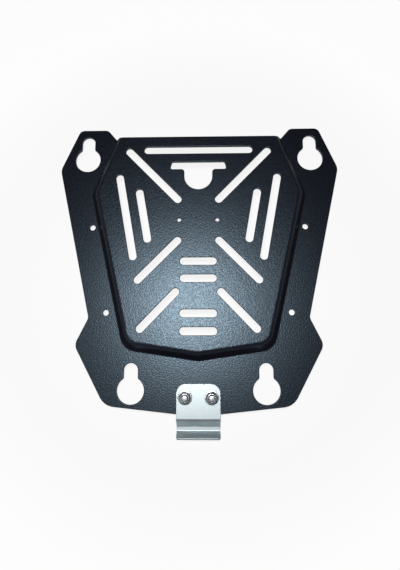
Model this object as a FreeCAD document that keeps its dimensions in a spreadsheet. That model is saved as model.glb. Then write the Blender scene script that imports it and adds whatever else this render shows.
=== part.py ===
import FreeCAD, Part
import math
import os
import Sketcher

# Top case mounting plate: one pressed steel sheet with a raised slotted panel, four keyholes for the
# studs of the case, and a bent latch hook held at the rear edge by two flange bolts and flange nuts.
# Millimetres. X runs across, Y runs to the front wings, Z runs up. The hook's ledge lies at Z = 0.

SIZES = {
    # Sheet and pressing
    "sheet_thickness": 3.0,
    "panel_rise": 11.0,
    "wall_draft": 30.0,
    "inside_bend_radius": 1.5,
    "panel_bend_radius": 3.0,
    "lip_radius": 0.6,
    "trim_margin": 25.0,
    # Outline of the trimmed sheet, right half
    "plate_width": 299.0,
    "wing_front": 162.5,
    "wing_top_width": 30.4,
    "wing_slant": 19.5,
    "panel_front": 148.0,
    "notch_outer_x": 89.5,
    "notch_inner_x": 83.0,
    "notch_step": 2.7,
    "shoulder_y": 116.0,
    "waist_x": 112.2,
    "waist_y": -44.5,
    "ear_x": 125.2,
    "ear_y": -71.8,
    "rear_corner_x": 92.8,
    "rear_corner_y": -130.9,
    "rear_apex_y": -141.0,
    "wing_radius": 6.5,
    "shoulder_radius": 14.0,
    "waist_radius": 7.0,
    "ear_radius": 11.0,
    "rear_corner_radius": 18.0,
    # Foot of the raised panel, right half
    "foot_front_x": 90.6,
    "foot_shoulder_x": 113.8,
    "foot_shoulder_y": 87.2,
    "foot_rear_x": 75.6,
    "foot_rear_y": -76.0,
    "foot_apex_y": -87.4,
    "foot_shoulder_radius": 18.0,
    "foot_rear_radius": 20.0,
    "foot_apex_radius": 8.0,
    # Slots in the panel
    "slot_width": 8.0,
    "front_slot_inset": 15.3,
    "front_slot_half": 53.3,
    "front_diagonal_in_x": 21.3,
    "front_diagonal_in_y": 77.7,
    "front_diagonal_out_x": 72.8,
    "front_diagonal_inset": 16.8,
    "outer_side_front_x": 82.4,
    "outer_side_front_y": 101.6,
    "outer_side_rear_x": 66.6,
    "outer_side_rear_y": 17.0,
    "inner_side_front_x": 61.3,
    "inner_side_front_y": 85.2,
    "inner_side_rear_x": 52.2,
    "inner_side_rear_y": 35.4,
    "middle_diagonal_in_x": 21.3,
    "middle_diagonal_in_y": 33.6,
    "middle_diagonal_out_x": 61.1,
    "middle_diagonal_out_y": -7.2,
    "rear_diagonal_in_x": 22.9,
    "rear_diagonal_in_y": -19.6,
    "rear_diagonal_out_x": 57.7,
    "rear_diagonal_out_y": -56.3,
    "short_slot_half": 14.7,
    "short_slot_pitch": 17.6,
    "front_pair_y": 12.0,
    "rear_pair_y": -41.0,
    # Cut-out with a tongue, behind the front slot
    "cutout_inset": 28.7,
    "cutout_depth": 8.2,
    "cutout_front_half": 27.6,
    "cutout_rear_half": 29.8,
    "tongue_radius": 14.6,
    "tongue_drop": 7.8,
    "cutout_corner_radius": 2.0,
    "tongue_corner_radius": 3.3,
    # Round holes
    "panel_hole_diameter": 4.0,
    "panel_hole_x": 19.6,
    "panel_hole_y": 55.4,
    "flange_hole_diameter": 6.0,
    "front_hole_x": 112.0,
    "front_hole_y": 51.1,
    "rear_hole_x": 94.5,
    "rear_hole_y": -39.2,
    # Keyholes
    "keyhole_diameter": 27.0,
    "keyhole_neck_width": 14.0,
    "keyhole_neck_reach": 19.7,
    "keyhole_corner_radius": 2.5,
    "front_keyhole_inset_x": 9.5,
    "front_keyhole_inset_y": 34.8,
    "rear_keyhole_x": 67.2,
    "rear_keyhole_y": -116.3,
    # Latch hook
    "hook_thickness": 2.5,
    "hook_width": 43.2,
    "hook_drop": 10.0,
    "hook_edge_clearance": 0.5,
    "hook_bend_radius": 1.5,
    "hook_slope_run": 6.3,
    "hook_ledge": 7.2,
    "hook_lip_run": 6.0,
    "hook_lip_rise": 9.0,
    "tab_margin": 13.0,
    "tab_corner_radius": 9.5,
    "lip_corner_radius": 2.5,
    # Bolts and nuts
    "bolt_side_margin": 8.5,
    "bolt_inset": 18.5,
    "bolt_diameter": 6.0,
    "bolt_hole_clearance": 0.6,
    "bolt_head_diameter": 13.0,
    "bolt_head_rim": 1.0,
    "bolt_head_height": 4.0,
    "bolt_head_crown": 8.0,
    "bolt_socket_flats": 4.0,
    "bolt_socket_depth": 2.2,
    "bolt_end_length": 2.0,
    "bolt_end_chamfer": 0.8,
    "nut_height": 6.0,
    "nut_flats": 10.0,
    "nut_flange_diameter": 14.2,
    "nut_flange_rim": 1.1,
    "nut_flange_height": 2.6,
    "nut_chamfer_angle": 30.0,
    "nut_bore_clearance": 0.1,
}

doc = FreeCAD.newDocument("top_case_mounting_plate")
sheet = doc.addObject("Spreadsheet::Sheet", "sizes")
for row, (alias, number) in enumerate(SIZES.items(), start=1):
    sheet.set("A%d" % row, alias)
    sheet.set("B%d" % row, str(number))
    sheet.setAlias("B%d" % row, alias)
probe = doc.addObject("App::FeaturePython", "probe")
probe.addProperty("App::PropertyFloat", "Number")
doc.recompute()

# Places and levels that several features share, as expressions over the sheet
WING_OUTER_X = "( plate_width / 2 - wing_slant )"
WING_INNER_X = "( plate_width / 2 - wing_slant - wing_top_width )"
FRONT_KEYHOLE = ("( plate_width / 2 - wing_slant - front_keyhole_inset_x )",
                 "( wing_front - front_keyhole_inset_y )")
REAR_KEYHOLE = ("rear_keyhole_x", "rear_keyhole_y")
CUTOUT_FRONT = "( panel_front - cutout_inset )"
CUTOUT_REAR = "( panel_front - cutout_inset - cutout_depth )"
BOLT_X = "( hook_width / 2 - bolt_side_margin )"
BOLT_Y = "( rear_apex_y + bolt_inset )"
BOLT_HOLE = "( bolt_diameter + bolt_hole_clearance )"
FLANGE_UNDERSIDE = "( hook_drop - sheet_thickness )"
FLANGE_TOP = "hook_drop"
HOOK_TOP = "( hook_drop + hook_thickness )"
OUTER_BEND_RADIUS = "( inside_bend_radius + sheet_thickness )"
PANEL_OUTER_BEND = "( panel_bend_radius + sheet_thickness )"


def cells(text):
    """Expression in which each alias in the text reads its cell of the sheet."""
    return " ".join("sizes." + word if word in SIZES else word for word in text.split())


def worked_out(text):
    """Number that an expression over the sheet comes to."""
    probe.setExpression("Number", cells(text))
    probe.recompute()
    return probe.Number


def point(x, y):
    """Place in a sketch, worked out from two expressions."""
    return FreeCAD.Vector(worked_out(x), worked_out(y), 0)


def points(corners):
    """Places in a sketch, worked out from pairs of expressions."""
    return [point(x, y) for x, y in corners]


def opposite(text):
    """Expression for the mirror image of a distance from the middle plane."""
    return "- ( " + text + " )"


def mirrored(corners):
    """Right-hand corners followed by their mirror images, in order round the profile."""
    return corners + [(opposite(x), y) for x, y in reversed(corners) if x != "0"]


def both_sides(x, y):
    """A place and its mirror image, as pairs of expressions."""
    return [(x, y), (opposite(x), y)]


def new_body(label, x, y, z):
    """Body of one sub-part, with its place bound to the sheet."""
    body = doc.addObject("PartDesign::Body", label)
    body.Label = label
    for axis, text in (("x", x), ("y", y), ("z", z)):
        body.setExpression("Placement.Base." + axis, cells(text))
    return body


def new_sketch(body, name, role="XY_Plane", height="0"):
    """Sketch on one of the body's own origin planes, lifted along the plane's normal."""
    plane = [p for p in body.Origin.OriginFeatures if p.Role == role][0]
    sketch = body.newObject("Sketcher::SketchObject", name)
    sketch.AttachmentSupport = [(plane, "")]
    sketch.MapMode = "FlatFace"
    sketch.setExpression("AttachmentOffset.Base.z", cells(height))
    return sketch


def hold(sketch, constraints):
    """Add the constraints of one shape, each with the expression that drives it or None."""
    indices = sketch.addConstraint([constraint for constraint, _ in constraints])
    for index, (_, text) in zip(indices, constraints):
        if text is not None:
            sketch.setExpression("Constraints[%d]" % index, cells(text))


def pinned(geometry, end, x, y):
    """Constraints that hold one point of a sketch at a place given by two expressions."""
    return [(Sketcher.Constraint("DistanceX", -1, 1, geometry, end, worked_out(x)), x),
            (Sketcher.Constraint("DistanceY", -1, 1, geometry, end, worked_out(y)), y)]


def fixed(kind, *references):
    """Constraint with no size of its own."""
    return (Sketcher.Constraint(kind, *references), None)


def sized(kind, references, text):
    """Constraint whose size is an expression."""
    return (Sketcher.Constraint(kind, *references, worked_out(text)), text)


def joined(lines):
    """Constraints that close a loop of lines."""
    return [fixed("Coincident", line, 2, following, 1)
            for line, following in zip(lines, lines[1:] + lines[:1])]


def add_lines(sketch, places, construction=False):
    """Closed loop of straight lines through the places."""
    return [sketch.addGeometry(Part.LineSegment(start, stop), construction)
            for start, stop in zip(places, places[1:] + places[:1])]


def add_polygon(sketch, corners, construction=False):
    """Straight-sided profile through corners given as pairs of expressions."""
    lines = add_lines(sketch, points(corners), construction)
    constraints = joined(lines)
    for line, (x, y) in zip(lines, corners):
        constraints += pinned(line, 1, x, y)
    hold(sketch, constraints)
    return lines


def alongside(path, distance, closed=False):
    """Corners of a path on the left of another at a distance, mitred where the path turns."""
    moved = []
    for index, corner in enumerate(path):
        runs = []
        if closed or index > 0:
            runs.append(corner.sub(path[index - 1]))
        if closed or index < len(path) - 1:
            runs.append(path[(index + 1) % len(path)].sub(corner))
        sides = [FreeCAD.Vector(-run.y, run.x, 0).normalize() for run in runs]
        mitre = sides[0].add(sides[-1])
        moved.append(corner.add(mitre.multiply(2 * distance / mitre.Length ** 2)))
    return moved


def add_inset(sketch, corners, inset):
    """Profile that runs inside a polygon, with each side parallel to its own and the inset away."""
    guide = add_polygon(sketch, corners, construction=True)
    lines = add_lines(sketch, alongside(points(corners), worked_out(inset), closed=True))
    constraints = joined(lines)
    for line, outer in zip(lines, guide):
        constraints.append(fixed("Parallel", line, outer))
        constraints.append(sized("Distance", (line, 1, outer), inset))
    hold(sketch, constraints)


def add_circle(sketch, x, y, diameter):
    """Circle with its centre and diameter held by expressions."""
    shape = Part.Circle(point(x, y), FreeCAD.Vector(0, 0, 1), worked_out(diameter) / 2)
    circle = sketch.addGeometry(shape, False)
    hold(sketch, pinned(circle, 3, x, y) + [sized("Diameter", (circle,), diameter)])


def add_slot(sketch, start, stop, width):
    """Slot with round ends, whose end centres and width are held by expressions."""
    first = point(*start)
    last = point(*stop)
    radius = worked_out(width) / 2
    run = last.sub(first)
    side = FreeCAD.Vector(-run.y, run.x, 0).multiply(radius / run.Length)
    heading = math.atan2(run.y, run.x)
    quarter = math.pi / 2
    up = FreeCAD.Vector(0, 0, 1)
    near_end = Part.ArcOfCircle(Part.Circle(first, up, radius), heading + quarter, heading + 3 * quarter)
    far_end = Part.ArcOfCircle(Part.Circle(last, up, radius), heading - quarter, heading + quarter)
    near = sketch.addGeometry(near_end, False)
    right = sketch.addGeometry(Part.LineSegment(first.sub(side), last.sub(side)), False)
    far = sketch.addGeometry(far_end, False)
    left = sketch.addGeometry(Part.LineSegment(last.add(side), first.add(side)), False)
    loop = [near, right, far, left]
    tangents = [fixed("Tangent", piece, 2, following, 1)
                for piece, following in zip(loop, loop[1:] + loop[:1])]
    ends = pinned(near, 3, *start) + pinned(far, 3, *stop)
    hold(sketch, tangents + ends + [sized("Diameter", (near,), width)])


def add_tongue(sketch, front, centre, width):
    """Tongue on the middle line: two straight sides behind a front line, closed by a half round."""
    middle = point("0", centre)
    radius = worked_out(width) / 2
    side = FreeCAD.Vector(radius, 0, 0)
    length = FreeCAD.Vector(0, worked_out(front) - middle.y, 0)
    half_round = Part.ArcOfCircle(Part.Circle(middle, FreeCAD.Vector(0, 0, 1), radius), math.pi, 2 * math.pi)
    near_left = middle.sub(side)
    near_right = middle.add(side)
    left = sketch.addGeometry(Part.LineSegment(near_left.add(length), near_left), False)
    end = sketch.addGeometry(half_round, False)
    right = sketch.addGeometry(Part.LineSegment(near_right, near_right.add(length)), False)
    across = sketch.addGeometry(Part.LineSegment(near_right.add(length), near_left.add(length)), False)
    hold(sketch, [
        fixed("Tangent", left, 2, end, 1),
        fixed("Tangent", end, 2, right, 1),
        fixed("Coincident", right, 2, across, 1),
        fixed("Coincident", across, 2, left, 1),
        fixed("Horizontal", across),
        fixed("Vertical", left),
        sized("DistanceY", (-1, 1, across, 1), front),
        sized("Diameter", (end,), width),
    ] + pinned(end, 3, "0", centre))


def add_strip(sketch, underside, thickness):
    """Section of a bent strip over an underside path, and its turning corners in order round the section."""
    under = points(underside)
    over = alongside(under, - worked_out(thickness))
    lines = add_lines(sketch, under + over[::-1])
    count = len(under)
    constraints = joined(lines)
    for line, (x, y) in zip(lines, underside):
        constraints += pinned(line, 1, x, y)
    for below, above in zip(lines[:count - 1], lines[2 * count - 2:count - 1:-1]):
        constraints.append(fixed("Parallel", below, above))
        constraints.append(sized("Distance", (above, 1, below), thickness))
    constraints.append(fixed("Perpendicular", lines[count - 1], lines[count - 2]))
    constraints.append(fixed("Perpendicular", lines[2 * count - 1], lines[0]))
    hold(sketch, constraints)
    return under[1:-1] + over[-2:0:-1]


def pad(body, sketch, name, length, draft=None, midplane=False):
    """Pad a sketch along its normal, narrowing with the draft of a pressing where one is given."""
    feature = body.newObject("PartDesign::Pad", name)
    feature.Profile = sketch
    feature.Midplane = midplane
    feature.setExpression("Length", cells(length))
    if draft is not None:
        feature.setExpression("TaperAngle", cells(opposite(draft)))
    doc.recompute()


def pocket(body, sketch, name, depth=None, draft=None):
    """Cut a sketch along its normal by a depth, or both ways through everything, and see that it cut."""
    before = body.Shape.Volume
    feature = body.newObject("PartDesign::Pocket", name)
    feature.Profile = sketch
    if depth is None:
        feature.Type = "ThroughAll"
        feature.Midplane = True
    else:
        feature.Reversed = True
        feature.setExpression("Length", cells(depth))
    if draft is not None:
        feature.setExpression("TaperAngle", cells(opposite(draft)))
    doc.recompute()
    if body.Shape.Volume > before - 1e-3:
        raise RuntimeError(name + " cut nothing")


def round_edges(body, name, radius, wanted):
    """Fillet the edges of the body's last feature that the wanted test accepts."""
    base = body.Tip
    chosen = ["Edge%d" % (index + 1) for index, edge in enumerate(base.Shape.Edges) if wanted(edge)]
    feature = body.newObject("PartDesign::Fillet", name)
    feature.Base = (base, chosen)
    feature.setExpression("Radius", cells(radius))
    doc.recompute()


def rises_from(feet):
    """Test for edges whose lower end lies above or below one of the places."""
    def wanted(edge):
        low, high = sorted((edge.firstVertex().Point, edge.lastVertex().Point), key=lambda p: p.z)
        near = any(math.hypot(low.x - foot.x, low.y - foot.y) < 1e-3 for foot in feet)
        return near and high.z - low.z > 1e-3
    return wanted


def runs_across(places):
    """Test for edges along X through one of the places, which are given by their Y and Z."""
    def wanted(edge):
        box = edge.BoundBox
        straight = box.YLength < 1e-3 and box.ZLength < 1e-3
        return straight and any(math.hypot(box.YMin - p.x, box.ZMin - p.y) < 1e-2 for p in places)
    return wanted


def lies_at(level, within):
    """Test for edges that lie wholly at a level and within a half width and two ends of the blank."""
    height = worked_out(level)
    half, rear, front = [worked_out(text) for text in within]

    def wanted(edge):
        box = edge.BoundBox
        flat = abs(box.ZMin - height) < 1e-3 and abs(box.ZMax - height) < 1e-3
        across = max(abs(box.XMin), abs(box.XMax)) < half
        return flat and across and box.YMin > rear and box.YMax < front
    return wanted


def rims_opening(shape):
    """Test for the upper edges of openings, which are the inner loops of the upward flat faces."""
    rims = []
    for face in shape.Faces:
        flat = face.Surface.TypeId == "Part::GeomPlane"
        if flat and face.normalAt(0, 0).z > 0.999:
            rims += [edge for wire in face.Wires if not wire.isSame(face.OuterWire) for edge in wire.Edges]

    def wanted(edge):
        return any(edge.isSame(rim) for rim in rims)
    return wanted


# Pressed sheet before trimming: a flat blank with the raised panel, hollow underneath
plate = new_body("mounting_plate", "0", "0", FLANGE_UNDERSIDE)
BLANK_HALF = "( plate_width / 2 + trim_margin )"
BLANK_REAR = "( rear_apex_y - trim_margin )"
BLANK_FRONT = "( wing_front + 2 * trim_margin )"
BLANK = (BLANK_HALF, BLANK_REAR, BLANK_FRONT)
FOOT_FRONT = "( wing_front + trim_margin )"
FOOT_FRONT_X = ("foot_front_x + ( foot_front_x - foot_shoulder_x )"
                " * ( wing_front + trim_margin - panel_front ) / ( panel_front - foot_shoulder_y )")
FOOT_APEX = ("0", "foot_apex_y")
FOOT_REAR = ("foot_rear_x", "foot_rear_y")
FOOT_SHOULDER = ("foot_shoulder_x", "foot_shoulder_y")
FOOT = mirrored([FOOT_APEX, FOOT_REAR, FOOT_SHOULDER, (FOOT_FRONT_X, FOOT_FRONT)])
HOLLOW_INSET = "( sheet_thickness * tan( ( 90 - wall_draft ) / 2 * 1deg ) )"

blank_sketch = new_sketch(plate, "blank_outline")
add_polygon(blank_sketch, mirrored([(BLANK_HALF, BLANK_REAR), (BLANK_HALF, BLANK_FRONT)]))
pad(plate, blank_sketch, "blank", "sheet_thickness")

foot_sketch = new_sketch(plate, "panel_foot", height="sheet_thickness")
add_polygon(foot_sketch, FOOT)
pad(plate, foot_sketch, "raised_panel", "panel_rise", draft="wall_draft")
round_edges(plate, "panel_rear_corners", "foot_rear_radius", rises_from(points(both_sides(*FOOT_REAR))))
round_edges(plate, "panel_shoulders", "foot_shoulder_radius", rises_from(points(both_sides(*FOOT_SHOULDER))))
round_edges(plate, "panel_apex", "foot_apex_radius", rises_from(points([FOOT_APEX])))
round_edges(plate, "panel_top_bend", PANEL_OUTER_BEND, lies_at("sheet_thickness + panel_rise", BLANK))
round_edges(plate, "panel_foot_bend", "inside_bend_radius", lies_at("sheet_thickness", BLANK))

hollow_sketch = new_sketch(plate, "hollow_outline")
add_inset(hollow_sketch, FOOT, HOLLOW_INSET)
pocket(plate, hollow_sketch, "hollow", depth="panel_rise", draft="wall_draft")
apex, rear, shoulder, _, _, left_shoulder, left_rear = alongside(
    points(FOOT), worked_out(HOLLOW_INSET), closed=True)
round_edges(plate, "hollow_rear_corners", "foot_rear_radius - sheet_thickness", rises_from([rear, left_rear]))
round_edges(plate, "hollow_shoulders", "foot_shoulder_radius - sheet_thickness",
            rises_from([shoulder, left_shoulder]))
round_edges(plate, "hollow_apex", "foot_apex_radius - sheet_thickness", rises_from([apex]))
round_edges(plate, "hollow_top_bend", "panel_bend_radius", lies_at("panel_rise", BLANK))
round_edges(plate, "hollow_foot_bend", OUTER_BEND_RADIUS, lies_at("0", BLANK))

# Trimming: everything outside the outline goes, and the outline's corners are rounded
WING_INNER = (WING_INNER_X, "wing_front")
WING_OUTER = (WING_OUTER_X, "wing_front")
NOTCH_OUTER = ("notch_outer_x", "( panel_front + notch_step )")
NOTCH_INNER = ("notch_inner_x", "panel_front")
SHOULDER = ("plate_width / 2", "shoulder_y")
WAIST = ("waist_x", "waist_y")
EAR = ("ear_x", "ear_y")
REAR_CORNER = ("rear_corner_x", "rear_corner_y")
REAR_APEX = ("0", "rear_apex_y")
OUTLINE = mirrored([REAR_APEX, REAR_CORNER, EAR, WAIST, SHOULDER,
                    WING_OUTER, WING_INNER, NOTCH_OUTER, NOTCH_INNER])
CORNER_RADII = (
    ("wing_corners", "wing_radius", WING_OUTER),
    ("wing_inner_corners", "wing_radius", WING_INNER),
    ("shoulder_corners", "shoulder_radius", SHOULDER),
    ("waist_corners", "waist_radius", WAIST),
    ("ear_corners", "ear_radius", EAR),
    ("rear_corners", "rear_corner_radius", REAR_CORNER),
)
TRIM_HALF = "( plate_width / 2 + 2 * trim_margin )"
TRIM_REAR = "( rear_apex_y - 2 * trim_margin )"
TRIM_FRONT = "( wing_front + 3 * trim_margin )"
trim_sketch = new_sketch(plate, "trim_outline")
add_polygon(trim_sketch, mirrored([(TRIM_HALF, TRIM_REAR), (TRIM_HALF, TRIM_FRONT)]))
add_polygon(trim_sketch, OUTLINE)
pocket(plate, trim_sketch, "trim")
for name, radius, corner in CORNER_RADII:
    round_edges(plate, name, radius, rises_from(points(both_sides(*corner))))

# Openings: slots, a cut-out and small holes in the panel, holes and the rounds of keyholes in the flange
SIDE_SLOTS = (
    (("front_diagonal_in_x", "front_diagonal_in_y"),
     ("front_diagonal_out_x", "( panel_front - front_diagonal_inset )")),
    (("outer_side_rear_x", "outer_side_rear_y"), ("outer_side_front_x", "outer_side_front_y")),
    (("inner_side_rear_x", "inner_side_rear_y"), ("inner_side_front_x", "inner_side_front_y")),
    (("middle_diagonal_in_x", "middle_diagonal_in_y"), ("middle_diagonal_out_x", "middle_diagonal_out_y")),
    (("rear_diagonal_in_x", "rear_diagonal_in_y"), ("rear_diagonal_out_x", "rear_diagonal_out_y")),
)
CROSS_SLOTS = (
    ("front_slot_half", "( panel_front - front_slot_inset )"),
    ("short_slot_half", "front_pair_y"),
    ("short_slot_half", "( front_pair_y - short_slot_pitch )"),
    ("short_slot_half", "rear_pair_y"),
    ("short_slot_half", "( rear_pair_y - short_slot_pitch )"),
)
ROUND_HOLES = (
    ("panel_hole_x", "panel_hole_y", "panel_hole_diameter"),
    ("front_hole_x", "front_hole_y", "flange_hole_diameter"),
    ("rear_hole_x", "rear_hole_y", "flange_hole_diameter"),
    (BOLT_X, BOLT_Y, BOLT_HOLE),
    (*FRONT_KEYHOLE, "keyhole_diameter"),
    (*REAR_KEYHOLE, "keyhole_diameter"),
)
CUTOUT_REAR_CORNER = ("cutout_rear_half", CUTOUT_REAR)
CUTOUT_FRONT_CORNER = ("cutout_front_half", CUTOUT_FRONT)
opening_sketch = new_sketch(plate, "opening_outlines")
for start, stop in SIDE_SLOTS:
    for near, far in zip(both_sides(*start), both_sides(*stop)):
        add_slot(opening_sketch, near, far, "slot_width")
for half, y in CROSS_SLOTS:
    left, right = both_sides(half, y)
    add_slot(opening_sketch, left, right, "slot_width")
for x, y, diameter in ROUND_HOLES:
    for side_x, side_y in both_sides(x, y):
        add_circle(opening_sketch, side_x, side_y, diameter)
add_polygon(opening_sketch, mirrored([CUTOUT_REAR_CORNER, CUTOUT_FRONT_CORNER]))
pocket(plate, opening_sketch, "openings")

# The cut-out's tongue, and the keyholes' necks that hold the shanks of the case's studs
NECK_START = "sqrt( keyhole_diameter * keyhole_diameter - keyhole_neck_width * keyhole_neck_width ) / 2"
neck_sketch = new_sketch(plate, "neck_outlines")
add_tongue(neck_sketch, CUTOUT_REAR + " + cutout_depth / 2", CUTOUT_REAR + " - tongue_drop",
           "2 * tongue_radius")
neck_corners = []
for x, y in both_sides(*FRONT_KEYHOLE) + both_sides(*REAR_KEYHOLE):
    add_slot(neck_sketch, (x, y), (x, y + " + keyhole_neck_reach"), "keyhole_neck_width")
    for side in (" - ", " + "):
        neck_corners.append((x + side + "keyhole_neck_width / 2", y + " + " + NECK_START))
pocket(plate, neck_sketch, "necks")
round_edges(plate, "keyhole_corners", "keyhole_corner_radius", rises_from(points(neck_corners)))
round_edges(plate, "cutout_corners", "cutout_corner_radius",
            rises_from(points(both_sides(*CUTOUT_REAR_CORNER) + both_sides(*CUTOUT_FRONT_CORNER))))
round_edges(plate, "tongue_corners", "tongue_corner_radius",
            rises_from(points(both_sides("tongue_radius", CUTOUT_REAR))))
round_edges(plate, "lips", "lip_radius", rims_opening(plate.Tip.Shape))

# Latch hook: one strip with a flat tab, a slope down past the plate's edge, a ledge and an upturned lip
hook = new_body("latch_hook", "0", "0", FLANGE_TOP)
TAB_FRONT = "( rear_apex_y + bolt_inset + tab_margin )"
TAB_REAR = "( rear_apex_y - hook_edge_clearance - hook_bend_radius )"
SLOPE_END = "( rear_apex_y - hook_edge_clearance - hook_bend_radius - hook_slope_run )"
LEDGE_END = SLOPE_END + " - hook_ledge"
UNDERSIDE = [
    (TAB_FRONT, "0"),
    (TAB_REAR, "0"),
    (SLOPE_END, "- hook_drop"),
    (LEDGE_END, "- hook_drop"),
    (LEDGE_END + " - hook_lip_run", "hook_lip_rise - hook_drop"),
]
strip_sketch = new_sketch(hook, "strip_profile", role="YZ_Plane")
strip_corners = add_strip(strip_sketch, UNDERSIDE, "hook_thickness")
pad(hook, strip_sketch, "strip", "hook_width", midplane=True)
bend_under, slope_under, ledge_under, ledge_over, slope_over, bend_over = strip_corners
round_edges(hook, "inside_bends", "hook_bend_radius", runs_across([bend_under, slope_over, ledge_over]))
round_edges(hook, "outside_bends", "hook_bend_radius + hook_thickness",
            runs_across([bend_over, slope_under, ledge_under]))
tab_front_corners = points(both_sides("hook_width / 2", TAB_FRONT))
round_edges(hook, "tab_corners", "tab_corner_radius", rises_from(tab_front_corners))
lip_end_corners = points(both_sides("hook_width / 2", LEDGE_END + " - hook_lip_run"))
round_edges(hook, "lip_corners", "lip_corner_radius", rises_from(lip_end_corners))
hook_hole_sketch = new_sketch(hook, "hook_hole_outlines")
for x, y in both_sides(BOLT_X, BOLT_Y):
    add_circle(hook_hole_sketch, x, y, BOLT_HOLE)
pocket(hook, hook_hole_sketch, "hook_holes")


def hexagon(flats):
    """Corners of a hexagon about the origin, with its flats facing along Y."""
    far = flats + " / sqrt( 3 )"
    near = flats + " / sqrt( 12 )"
    half = flats + " / 2"
    upper = [(far, "0"), (near, half), (opposite(near), half)]
    return upper + [(opposite(x), opposite(y)) for x, y in upper]


def turned(body, name, corners, kind="PartDesign::Revolution"):
    """Turn a profile of radius and height about the body's own Z axis, to add it or to cut it."""
    sketch = new_sketch(body, name + "_profile", role="XZ_Plane")
    add_polygon(sketch, corners)
    feature = body.newObject(kind, name)
    feature.Profile = sketch
    feature.ReferenceAxis = (sketch, ["V_Axis"])
    feature.Angle = 360
    doc.recompute()


def make_bolt(label, x):
    """Flange bolt from below: a low crowned head with a hexagon socket, and a shank through hook and nut."""
    bolt = new_body(label, x, BOLT_Y, FLANGE_UNDERSIDE)
    radius = "bolt_diameter / 2"
    tip = "( sheet_thickness + hook_thickness + nut_height + bolt_end_length )"
    turned(bolt, label + "_blank", [
        ("0", "- bolt_head_height"),
        ("bolt_head_crown / 2", "- bolt_head_height"),
        ("bolt_head_diameter / 2", "- bolt_head_rim"),
        ("bolt_head_diameter / 2", "0"),
        (radius, "0"),
        (radius, tip + " - bolt_end_chamfer"),
        (radius + " - bolt_end_chamfer", tip),
        ("0", tip),
    ])
    socket_sketch = new_sketch(bolt, label + "_socket_outline", height="- bolt_head_height")
    add_polygon(socket_sketch, hexagon("bolt_socket_flats"))
    pocket(bolt, socket_sketch, label + "_socket", depth="bolt_socket_depth")
    return bolt


def make_nut(label, x):
    """Flange nut on the hook's tab: a coned flange, a hexagon with a chamfered top, and the bolt's bore."""
    nut = new_body(label, x, BOLT_Y, HOOK_TOP)
    turned(nut, label + "_flange", [
        ("0", "0"),
        ("nut_flange_diameter / 2", "0"),
        ("nut_flange_diameter / 2", "nut_flange_rim"),
        ("nut_flats / 2", "nut_flange_height"),
        ("0", "nut_flange_height"),
    ])
    hex_sketch = new_sketch(nut, label + "_hexagon_outline")
    add_polygon(hex_sketch, hexagon("nut_flats"))
    pad(nut, hex_sketch, label + "_hexagon", "nut_height")
    corner = "nut_flats / sqrt( 3 )"
    chamfer_foot = "nut_height - ( nut_flats / sqrt( 3 ) - nut_flats / 2 ) * tan( nut_chamfer_angle * 1deg )"
    turned(nut, label + "_chamfer", [
        ("nut_flats / 2", "nut_height"),
        (corner, chamfer_foot),
        (corner, "nut_height"),
    ], kind="PartDesign::Groove")
    bore_sketch = new_sketch(nut, label + "_bore_outline")
    add_circle(bore_sketch, "0", "0", "( bolt_diameter + nut_bore_clearance )")
    pocket(nut, bore_sketch, label + "_bore")
    return nut


parts = [plate, hook]
for side, x in (("left", opposite(BOLT_X)), ("right", BOLT_X)):
    parts.append(make_bolt("hook_bolt_" + side, x))
    parts.append(make_nut("hook_nut_" + side, x))

doc.removeObject(probe.Name)
doc.recompute()
for item in doc.Objects:
    if "Invalid" in item.State or "Error" in item.State:
        raise RuntimeError(item.Label + " failed to rebuild")
for body in parts:
    if body.Shape.isNull() or not body.Shape.isValid():
        raise RuntimeError(body.Label + " has no valid shape")

os.makedirs("parts", exist_ok=True)
for body in parts:
    body.Shape.exportStep("parts/" + body.Label + ".step")
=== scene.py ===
import math

import bmesh
import bpy
import numpy as np
from mathutils import Matrix, Vector


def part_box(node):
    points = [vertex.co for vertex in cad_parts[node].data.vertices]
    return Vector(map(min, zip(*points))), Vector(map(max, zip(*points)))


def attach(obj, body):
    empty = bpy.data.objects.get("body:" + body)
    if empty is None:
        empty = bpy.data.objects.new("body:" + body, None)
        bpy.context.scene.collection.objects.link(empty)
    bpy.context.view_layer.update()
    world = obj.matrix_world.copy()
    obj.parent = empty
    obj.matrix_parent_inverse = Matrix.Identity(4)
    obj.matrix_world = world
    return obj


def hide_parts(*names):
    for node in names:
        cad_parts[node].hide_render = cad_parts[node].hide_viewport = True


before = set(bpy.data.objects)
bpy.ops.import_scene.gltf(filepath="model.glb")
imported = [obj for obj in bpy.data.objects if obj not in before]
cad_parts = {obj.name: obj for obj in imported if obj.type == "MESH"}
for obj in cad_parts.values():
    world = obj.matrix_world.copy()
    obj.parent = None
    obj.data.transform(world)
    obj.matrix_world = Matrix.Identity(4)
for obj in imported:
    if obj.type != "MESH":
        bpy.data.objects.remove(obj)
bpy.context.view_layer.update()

# Metres. X runs across the plate, Y to its front wings, Z up out of the raised panel.
MM = 0.001

# Skins of the plate and the hook: how near points are merged, which bend still counts as flat, and how steep
# the two faces at a cut edge are, as the upright share of their normals
MERGE_WITHIN = 0.002 * MM
FLAT_WITHIN = math.radians(0.3)
UPRIGHT_UNDER = 0.05
LYING_OVER = 0.3

# Edges that the coating and the plating leave slightly round
PLATE_EDGE = 0.40 * MM
HOOK_EDGE = 0.30 * MM
SHEET_EDGE_STEPS = 3
FASTENER_EDGE = 0.03 * MM
FASTENER_EDGE_STEPS = 2
FASTENER_EDGE_OVER = math.radians(40)
FLAT_FACE_WEIGHT = 100

# Points of one full turn of a nut, a bolt or the paper
AROUND = 96

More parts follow.
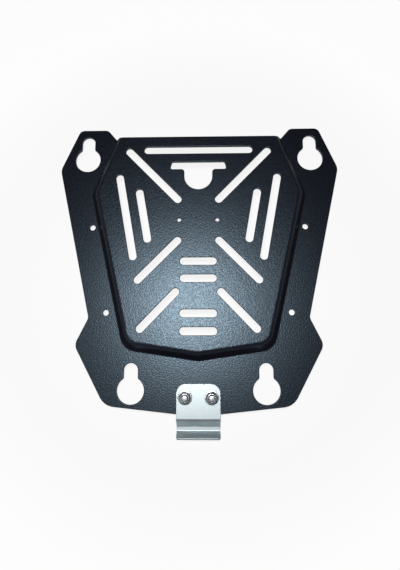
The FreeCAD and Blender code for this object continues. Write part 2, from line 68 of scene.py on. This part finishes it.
# M6 thread, whose wave is stretched, lowered and clipped so that crests and roots are flat
THREAD_RADIUS = 3.0 * MM
THREAD_PITCH = 1.0 * MM
THREAD_DEPTH = 0.55 * MM
THREAD_GAP = 0.05 * MM
THREAD_STEP = THREAD_PITCH / 12
THREAD_WAVE_GAIN = 1.35
THREAD_WAVE_DROP = 0.15

# Flange nut, and how far each is turned on its bolt in degrees
NUT_TURNS = {"left": 12.0, "right": 41.0}
NUT_FLATS = 10.0 * MM
NUT_COUNTERSINK = 0.80 * MM
NUT_MOUTH_RADIUS = THREAD_RADIUS + 0.56 * MM
NUT_COLLAR_RADIUS = NUT_FLATS / 2 - 0.15 * MM
NUT_COLLAR_FALL = 1.30 * MM
NUT_COLLAR_RINGS = 8
NUT_CHAMFER_SLOPE = math.tan(math.radians(30))
NUT_DISH_RISE = 0.45 * MM
NUT_DISH_SHARES = np.array([0.15, 0.30, 0.50, 0.75])
NUT_RIM = 1.10 * MM
NUT_RIM_ROUND = 0.35 * MM
NUT_RIM_RINGS = 6
NUT_FOOT_BREAK_WIDTH = 0.20 * MM
NUT_FOOT_BREAK_HEIGHT = 0.25 * MM
NUT_FOOT_MOUTH_RADIUS = NUT_MOUTH_RADIUS + 0.20 * MM

# Flange bolt with a hexagon socket
BOLT_HEAD_RIM = 1.0 * MM
BOLT_CROWN_FLAT_RADIUS = 3.2 * MM
BOLT_CROWN_RINGS = 9
BOLT_SOCKET_FLATS = 4.0 * MM
BOLT_SOCKET_TURN = 20.0
BOLT_SOCKET_DEPTH = 2.2 * MM
BOLT_SOCKET_BREAK_WIDTH = 0.20 * MM
BOLT_SOCKET_BREAK_HEIGHT = 0.30 * MM
BOLT_SOCKET_TAPER_SHARE = 0.5
BOLT_SOCKET_TAPER_DEPTH = 0.35 * MM
BOLT_PLAIN_SHANK = 0.80 * MM
BOLT_TIP_CHAMFER = 0.80 * MM

# Black powder coat
COAT_BLACKS = [(0.30, (0.0020, 0.0015, 0.0044)), (0.72, (0.0032, 0.0025, 0.0064))]
COAT_ROUGHNESS = (0.34, 0.41)
COAT_IOR = 1.545
COAT_SHEEN = (0.61, 0.83, 1.0, 1.0)
COAT_PEEL_DEPTH = 0.04 * MM
COAT_GRAIN_DEPTH = 0.17 * MM

# Bright zinc plate
ZINC_GREYS = [(0.30, (0.40, 0.455, 0.475)), (0.70, (0.46, 0.513, 0.53))]
ZINC_ROUGHNESS = (0.48, 0.54)
ZINC_GRAIN_DEPTH = 0.05 * MM

# Polished steel of the nuts and bolts
STEEL_GREYS = [(0.30, (0.34, 0.365, 0.385)), (0.70, (0.44, 0.465, 0.49))]
STEEL_ROUGHNESS = (0.34, 0.44)
STEEL_PATCH_DEPTH = 0.02 * MM

# Studio paper: a bowl with a flat floor, and the share of plain white that each kind of ray sees in it, first
# within the near distance of the object's middle and then beyond the far one
PAPER_FLOOR_RINGS = [0.02, 0.3, 0.7]
PAPER_FLOOR_RADIUS = 1.1
PAPER_BEND = 0.5
PAPER_BEND_RINGS = 13
PAPER_WALL = 0.75
PAPER_GREY = (0.70, 0.70, 0.70, 1.0)
PAPER_NEAR = 0.20
PAPER_FAR = 0.30
PAPER_GLOW = {
    "Is Camera Ray": (0.88, 0.97),
    "Is Glossy Ray": (0.60, 0.30),
    "Is Transmission Ray": (0.88, 0.97),
}

# Soft boxes, with the side of the box, its watts and the cone of its grid in degrees, and the dim room
SOFT_BOXES = {
    "key": {"place": (-0.037, 0.032, 0.61), "aim": (-0.01, -0.03, 0.01),
            "size": 0.12, "watts": 0.96, "cone": 90},
    "fill": {"place": (-0.60, -0.40, 0.75), "aim": (0.0, -0.03, 0.0),
             "size": 0.7, "watts": 0.8, "cone": 180},
}
ROOM_GREY = (0.008, 0.008, 0.009, 1.0)

# Photograph's camera
IMAGE_LONG_SIDE = 570
FOCAL_PIXELS = 400
SENSOR = 36.0
CAMERA_PLACE = Vector((9.7, -80.5, 414.3)) * MM
CAMERA_AIM = Vector((1.6, -10.9, 10.0)) * MM
CAMERA_CLIP = 10 * MM
PICTURE_UP = Vector((0, 1, 0))


def piece_from(name, mesh, node):
    """Object that shows a mesh in place of a CAD node, hung under the root body, with the CAD node hidden."""
    piece = bpy.data.objects.new(name, mesh)
    bpy.context.scene.collection.objects.link(piece)
    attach(piece, "root")
    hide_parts(node)
    return piece


def round_edges(piece, width, steps, limit):
    """Small rounds on the sharp edges, with normals that keep the flat faces flat."""
    bevel = piece.modifiers.new("edge rounds", "BEVEL")
    bevel.width = width
    bevel.segments = steps
    bevel.limit_method = limit
    bevel.angle_limit = FASTENER_EDGE_OVER
    bevel.use_clamp_overlap = False
    normals = piece.modifiers.new("flat faces", "WEIGHTED_NORMAL")
    normals.mode = "FACE_AREA"
    normals.weight = FLAT_FACE_WEIGHT


def is_cut_edge(corner):
    """Whether a skin's edge lies where a cut square to the sheet meets the sheet's face."""
    upright, lying = sorted(abs(face.normal.z) for face in corner.link_faces)
    return upright < UPRIGHT_UNDER and lying > LYING_OVER


def finished_solid(name, node, edge):
    """Copy of a CAD solid, merged into one skin, with its flat faces joined and its cut edges rounded."""
    skin = bmesh.new()
    skin.from_mesh(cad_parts[node].data)
    bmesh.ops.remove_doubles(skin, verts=skin.verts, dist=MERGE_WITHIN)
    bmesh.ops.dissolve_limit(skin, angle_limit=FLAT_WITHIN, verts=skin.verts, edges=skin.edges)
    for face in skin.faces:
        face.smooth = True
    rounded = skin.edges.layers.float.new("bevel_weight_edge")
    for corner in skin.edges:
        corner.smooth = True
        corner[rounded] = float(is_cut_edge(corner))
    mesh = bpy.data.meshes.new(name)
    skin.to_mesh(mesh)
    skin.free()
    piece = piece_from(name, mesh, node)
    round_edges(piece, edge, SHEET_EDGE_STEPS, "WEIGHT")
    return piece


def level_rings(values):
    """Rings that each keep one radius, or one height, all the way round."""
    return np.repeat(np.atleast_1d(values)[:, None], AROUND, axis=1)


def quarter_turn(rings):
    """Angles of the rings of a rounded corner, from nothing to a quarter turn."""
    return np.linspace(0, np.pi / 2, rings)


def ring_grid(radius, height, joined=False):
    """Points and quads of rings about the upright axis: point (i, j) lies at angle j of the turn, at
    radius[i, j] and height[i, j]. Each quad spans two rings and two angles, and the last ring of a joined
    grid meets its first."""
    rings = len(radius)
    angle = np.linspace(0, 2 * np.pi, AROUND, endpoint=False)
    points = np.stack([radius * np.cos(angle), radius * np.sin(angle), height], axis=-1).reshape(-1, 3)
    ring = np.arange(rings if joined else rings - 1)[:, None]
    following = (ring + 1) % rings
    here = np.arange(AROUND)[None, :]
    after = (here + 1) % AROUND
    quads = np.stack([ring * AROUND + here, ring * AROUND + after,
                      following * AROUND + after, following * AROUND + here], axis=-1).reshape(-1, 4)
    return points, quads


def smooth_mesh(name, points, faces):
    """Mesh of points and faces, shaded smooth."""
    mesh = bpy.data.meshes.new(name)
    mesh.from_pydata(points.tolist(), [], faces)
    mesh.polygons.foreach_set("use_smooth", np.ones(len(mesh.polygons), bool))
    return mesh


def turned_mesh(name, radius, height, foot, joined):
    """Closed mesh of rings about the upright axis through a foot point. A joined profile closes on its first
    ring, and any other closes on a pole in the middle of each end."""
    points, quads = ring_grid(radius, height, joined)
    faces = quads.tolist()
    if not joined:
        low_pole, high_pole = len(points), len(points) + 1
        last = low_pole - AROUND
        here = np.arange(AROUND)
        after = (here + 1) % AROUND
        faces += np.stack([after, here, np.full(AROUND, low_pole)], axis=-1).tolist()
        faces += np.stack([last + here, last + after, np.full(AROUND, high_pole)], axis=-1).tolist()
        poles = np.array([[0, 0, height[0].mean()], [0, 0, height[-1].mean()]])
        points = np.concatenate([points, poles])
    return smooth_mesh(name, points + np.array(foot), faces)


def turned_fastener(node, radius, height, joined):
    """Nut or bolt from the rings of its profile, on the axis and the lowest level of its CAD node."""
    low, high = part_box(node)
    centre = (low + high) / 2
    mesh = turned_mesh(node + "_dressed", radius, height, (centre.x, centre.y, low.z), joined)
    piece = piece_from(node + "_dressed", mesh, node)
    round_edges(piece, FASTENER_EDGE, FASTENER_EDGE_STEPS, "ANGLE")
    return piece


def hexagon_reach(flats, turn_degrees):
    """Distance from the axis to a hexagon's side at each angle: half its flats over the cosine of the angle
    to the middle of that side."""
    angle = np.linspace(0, 2 * np.pi, AROUND, endpoint=False) - math.radians(turn_degrees)
    off_middle = (angle + np.pi / 6) % (np.pi / 3) - np.pi / 6
    return flats / 2 / np.cos(off_middle)


def thread_reach(height):
    """Radius of a helical thread at each height and angle: the crest's radius less a triangle wave of the
    height counted in pitches and of the turn, with its crest and root cut flat."""
    turn = np.arange(AROUND) / AROUND
    phase = (height[:, None] / THREAD_PITCH - turn[None, :]) % 1.0
    wave = np.clip(np.abs(2 * phase - 1) * THREAD_WAVE_GAIN - THREAD_WAVE_DROP, 0, 1)
    return THREAD_RADIUS - THREAD_DEPTH * wave


def flange_nut(side):
    """Flange nut as one closed profile: threaded bore with a countersink, a collar that falls as a quarter
    ellipse, a chamfer out to the six sides, the sides, a dished flange whose height over the rim goes with
    the square of the distance left to the rim, the round rim and the flat foot."""
    node = "hook_nut_" + side
    low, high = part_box(node)
    tall = high.z - low.z
    rim_radius = (high.x - low.x) / 2
    dish_radius = rim_radius - NUT_RIM_ROUND

    bore_height = np.arange(NUT_COUNTERSINK, tall - NUT_COUNTERSINK, THREAD_STEP)
    bore = thread_reach(bore_height + low.z) + THREAD_GAP

    collar = quarter_turn(NUT_COLLAR_RINGS)
    collar_radius = NUT_MOUTH_RADIUS + (NUT_COLLAR_RADIUS - NUT_MOUTH_RADIUS) * np.sin(collar)
    collar_height = tall - NUT_COLLAR_FALL * (1 - np.cos(collar))

    sides = hexagon_reach(NUT_FLATS, NUT_TURNS[side])
    top_of_sides = collar_height[-1] - (sides - NUT_COLLAR_RADIUS) * NUT_CHAMFER_SLOPE
    foot_of_sides = NUT_RIM + NUT_DISH_RISE * (rim_radius - sides) / (rim_radius - NUT_FLATS / 2)
    middle_of_sides = (top_of_sides + foot_of_sides) / 2

    out = NUT_DISH_SHARES[:, None]
    dish = sides + (dish_radius - sides) * out
    dish_height = NUT_RIM + (foot_of_sides - NUT_RIM) * (1 - out) ** 2

    rim = quarter_turn(NUT_RIM_RINGS)
    rim_round = dish_radius + NUT_RIM_ROUND * np.sin(rim)
    rim_height = NUT_RIM - NUT_RIM_ROUND * (1 - np.cos(rim))

    foot = [rim_radius, rim_radius - NUT_FOOT_BREAK_WIDTH, NUT_FOOT_MOUTH_RADIUS]
    foot_height = [NUT_FOOT_BREAK_HEIGHT, 0.0, 0.0]

    radius = np.vstack([bore, level_rings(collar_radius), sides, sides, sides, dish,
                        level_rings(rim_round), level_rings(foot)])
    height = np.vstack([level_rings(bore_height), level_rings(collar_height), top_of_sides, middle_of_sides,
                        foot_of_sides, dish_height, level_rings(rim_height), level_rings(foot_height)])
    return turned_fastener(node, radius[::-1], height[::-1], True)


def flange_bolt(side):
    """Bolt as one profile from its socket to its tip: hexagon socket with a tapered floor, a flat round it, a
    crown that widens as a quarter ellipse to a thin rim, the flat seat, a short plain shank, a thread that
    grows to its full depth within one pitch, and a chamfer of 45 degrees at the end."""
    node = "hook_bolt_" + side
    low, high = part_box(node)
    head_radius = (high.x - low.x) / 2
    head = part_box("mounting_plate")[0].z - low.z
    total = high.z - low.z

    hexagon = hexagon_reach(BOLT_SOCKET_FLATS, BOLT_SOCKET_TURN)
    mouth = level_rings(hexagon.max() + BOLT_SOCKET_BREAK_WIDTH)
    socket = np.vstack([hexagon * BOLT_SOCKET_TAPER_SHARE, hexagon, hexagon, mouth])
    socket_end = BOLT_SOCKET_DEPTH + BOLT_SOCKET_TAPER_DEPTH
    socket_height = [socket_end, BOLT_SOCKET_DEPTH, BOLT_SOCKET_BREAK_HEIGHT, 0.0]

    crown = quarter_turn(BOLT_CROWN_RINGS)
    crown_radius = BOLT_CROWN_FLAT_RADIUS + (head_radius - BOLT_CROWN_FLAT_RADIUS) * np.sin(crown)
    crown_height = (head - BOLT_HEAD_RIM) * (1 - np.cos(crown))

    thread_height = np.arange(head + BOLT_PLAIN_SHANK, total, THREAD_STEP)
    grown = np.clip((thread_height - thread_height[0]) / THREAD_PITCH, 0, 1)
    cut = THREAD_RADIUS - (THREAD_RADIUS - thread_reach(thread_height + low.z)) * grown[:, None]
    end_cone = THREAD_RADIUS - np.clip(thread_height - (total - BOLT_TIP_CHAMFER), 0, None)
    thread = np.minimum(cut, end_cone[:, None])

    radius = np.vstack([socket, level_rings(crown_radius), level_rings([head_radius, THREAD_RADIUS]), thread,
                        level_rings(THREAD_RADIUS - BOLT_TIP_CHAMFER)])
    height = np.vstack([level_rings(socket_height), level_rings(crown_height), level_rings([head, head]),
                        level_rings(thread_height), level_rings(total)])
    return turned_fastener(node, radius, height, False)


def new_material(name):
    """Material with its node tree, its shader and its Object coordinates."""
    material = bpy.data.materials.new(name)
    material.use_nodes = True
    nodes = material.node_tree.nodes
    shader = nodes["Principled BSDF"]
    place = nodes.new("ShaderNodeTexCoord").outputs["Object"]
    return material, material.node_tree, shader, place


def noise(tree, place, scale, detail=2.0, roughness=0.5):
    """Noise over the object, in features to the metre."""
    node = tree.nodes.new("ShaderNodeTexNoise")
    node.inputs["Scale"].default_value = scale
    node.inputs["Detail"].default_value = detail
    node.inputs["Roughness"].default_value = roughness
    tree.links.new(place, node.inputs["Vector"])
    return node.outputs["Fac"]


def spread(tree, value, low, high, from_low=0.3, from_high=0.7):
    """Value carried from one range to another."""
    node = tree.nodes.new("ShaderNodeMapRange")
    node.inputs["From Min"].default_value = from_low
    node.inputs["From Max"].default_value = from_high
    node.inputs["To Min"].default_value = low
    node.inputs["To Max"].default_value = high
    tree.links.new(value, node.inputs["Value"])
    return node.outputs["Result"]


def shades(tree, value, stops):
    """Colour looked up along a ramp of two (place, colour) stops."""
    node = tree.nodes.new("ShaderNodeValToRGB")
    for element, (at, colour) in zip(node.color_ramp.elements, stops):
        element.position = at
        element.color = (*colour, 1.0)
    tree.links.new(value, node.inputs["Fac"])
    return node.outputs["Color"]


def bump(tree, value, strength, depth, under=None):
    """Surface relief from a value, as deep as given, over any relief under it."""
    node = tree.nodes.new("ShaderNodeBump")
    node.inputs["Strength"].default_value = strength
    node.inputs["Distance"].default_value = depth
    tree.links.new(value, node.inputs["Height"])
    if under is not None:
        tree.links.new(under, node.inputs["Normal"])
    return node.outputs["Normal"]


def powder_coat():
    """Black powder coat: a fine cured grain with a slight orange peel and a cool grey sheen."""
    material, tree, shader, place = new_material("powder_coat_black")
    grain = noise(tree, place, scale=690, detail=1.0)
    peel = noise(tree, place, scale=260)
    drift = noise(tree, place, scale=22)
    tree.links.new(shades(tree, drift, COAT_BLACKS), shader.inputs["Base Color"])
    gloss = spread(tree, grain, *COAT_ROUGHNESS, from_low=0.35, from_high=0.65)
    tree.links.new(gloss, shader.inputs["Roughness"])
    shader.inputs["IOR"].default_value = COAT_IOR
    shader.inputs["Specular Tint"].default_value = COAT_SHEEN
    relief = bump(tree, peel, strength=0.2, depth=COAT_PEEL_DEPTH)
    relief = bump(tree, grain, strength=0.9, depth=COAT_GRAIN_DEPTH, under=relief)
    tree.links.new(relief, shader.inputs["Normal"])
    return material


def zinc_plate():
    """Bright zinc plate: satin metal with a faint cloudy bloom and a fine grain."""
    material, tree, shader, place = new_material("zinc_plate_bright")
    bloom = noise(tree, place, scale=160, detail=4.0, roughness=0.6)
    grain = noise(tree, place, scale=900)
    shader.inputs["Metallic"].default_value = 1.0
    tree.links.new(shades(tree, bloom, ZINC_GREYS), shader.inputs["Base Color"])
    tree.links.new(spread(tree, bloom, *ZINC_ROUGHNESS), shader.inputs["Roughness"])
    tree.links.new(bump(tree, grain, strength=0.5, depth=ZINC_GRAIN_DEPTH), shader.inputs["Normal"])
    return material


def fastener_steel():
    """Polished plated steel of the nuts and bolts, with small changes of gloss."""
    material, tree, shader, place = new_material("fastener_steel_polished")
    patches = noise(tree, place, scale=420, detail=3.0)
    shader.inputs["Metallic"].default_value = 1.0
    tree.links.new(shades(tree, patches, STEEL_GREYS), shader.inputs["Base Color"])
    tree.links.new(spread(tree, patches, *STEEL_ROUGHNESS), shader.inputs["Roughness"])
    tree.links.new(bump(tree, patches, strength=0.15, depth=STEEL_PATCH_DEPTH), shader.inputs["Normal"])
    return material


def paper_white():
    """Studio paper: a matt pale sheet that rays from the camera and through glass see as nearly white, a
    little less so round the object, whose shadow stays on it. Rays off gloss see less white in it, and
    least away from the object."""
    material = bpy.data.materials.new("studio_paper")
    material.use_nodes = True
    tree = material.node_tree
    tree.nodes.clear()
    output = tree.nodes.new("ShaderNodeOutputMaterial")
    matt = tree.nodes.new("ShaderNodeBsdfDiffuse")
    matt.inputs["Color"].default_value = PAPER_GREY
    glow = tree.nodes.new("ShaderNodeEmission")
    glow.inputs["Strength"].default_value = 1.0
    reach = tree.nodes.new("ShaderNodeVectorMath")
    reach.operation = "LENGTH"
    tree.links.new(tree.nodes.new("ShaderNodeTexCoord").outputs["Object"], reach.inputs[0])
    rays = tree.nodes.new("ShaderNodeLightPath")
    seen = None
    for ray, (near, far) in PAPER_GLOW.items():
        share = spread(tree, reach.outputs["Value"], near, far, PAPER_NEAR, PAPER_FAR)
        sum_so_far = tree.nodes.new("ShaderNodeMath")
        sum_so_far.operation = "MULTIPLY_ADD"
        sum_so_far.inputs[2].default_value = 0.0
        tree.links.new(rays.outputs[ray], sum_so_far.inputs[0])
        tree.links.new(share, sum_so_far.inputs[1])
        if seen is not None:
            tree.links.new(seen, sum_so_far.inputs[2])
        seen = sum_so_far.outputs[0]
    mix = tree.nodes.new("ShaderNodeMixShader")
    tree.links.new(seen, mix.inputs["Fac"])
    tree.links.new(matt.outputs[0], mix.inputs[1])
    tree.links.new(glow.outputs[0], mix.inputs[2])
    tree.links.new(mix.outputs[0], output.inputs["Surface"])
    return material


def studio():
    """Bowl of pale paper: a flat floor that turns up through a quarter round into a low wall all about."""
    bend = quarter_turn(PAPER_BEND_RINGS)
    radius = np.concatenate([PAPER_FLOOR_RINGS, PAPER_FLOOR_RADIUS + PAPER_BEND * np.sin(bend),
                             [PAPER_FLOOR_RADIUS + PAPER_BEND]])
    height = np.concatenate([np.zeros(len(PAPER_FLOOR_RINGS)), PAPER_BEND * (1 - np.cos(bend)),
                             [PAPER_BEND + PAPER_WALL]])
    points, quads = ring_grid(level_rings(radius), level_rings(height))
    middle = list(range(AROUND))
    mesh = smooth_mesh("paper", points, quads[:, ::-1].tolist() + [middle])
    mesh.materials.append(paper_white())
    paper = bpy.data.objects.new("studio_paper", mesh)
    bpy.context.scene.collection.objects.link(paper)


def soft_light(name, place, aim, size, watts, cone):
    """Square soft box turned to a point, with a grid that keeps its light within a cone of degrees."""
    lamp = bpy.data.lights.new(name, "AREA")
    lamp.spread = math.radians(cone)
    lamp.shape = "SQUARE"
    lamp.size = size
    lamp.energy = watts
    holder = bpy.data.objects.new(name, lamp)
    holder.location = place
    holder.rotation_mode = "QUATERNION"
    holder.rotation_quaternion = (Vector(aim) - Vector(place)).to_track_quat("-Z", "Y")
    bpy.context.scene.collection.objects.link(holder)


def lighting():
    """One small soft box above the plate, whose sheen lies on the rear half of the panel, a wide fill on the
    left, and a dim room."""
    for name, box in SOFT_BOXES.items():
        soft_light(name, **box)
    world = bpy.data.worlds.new("room")
    world.use_nodes = True
    shade = world.node_tree.nodes["Background"]
    shade.inputs["Color"].default_value = ROOM_GREY
    shade.inputs["Strength"].default_value = 1.0
    bpy.context.scene.world = world


def camera():
    """Camera over the rear half of the plate, looking down and a little forwards, with +Y up the picture."""
    lens = bpy.data.cameras.new("camera")
    lens.sensor_width = SENSOR
    lens.lens = FOCAL_PIXELS / IMAGE_LONG_SIDE * SENSOR
    lens.clip_start = CAMERA_CLIP
    holder = bpy.data.objects.new("camera", lens)
    back = (CAMERA_PLACE - CAMERA_AIM).normalized()
    right = PICTURE_UP.cross(back).normalized()
    up = back.cross(right)
    turn = Matrix((right, up, back)).transposed().to_4x4()
    holder.matrix_world = Matrix.Translation(CAMERA_PLACE) @ turn
    bpy.context.scene.collection.objects.link(holder)
    bpy.context.scene.camera = holder


plate = finished_solid("plate_dressed", "mounting_plate", PLATE_EDGE)
plate.data.materials.append(powder_coat())
hook = finished_solid("hook_dressed", "latch_hook", HOOK_EDGE)
hook.data.materials.append(zinc_plate())
steel = fastener_steel()
for side in ("left", "right"):
    for fastener in (flange_bolt(side), flange_nut(side)):
        fastener.data.materials.append(steel)
studio()
lighting()
camera()
bpy.context.scene.view_settings.view_transform = "Standard"
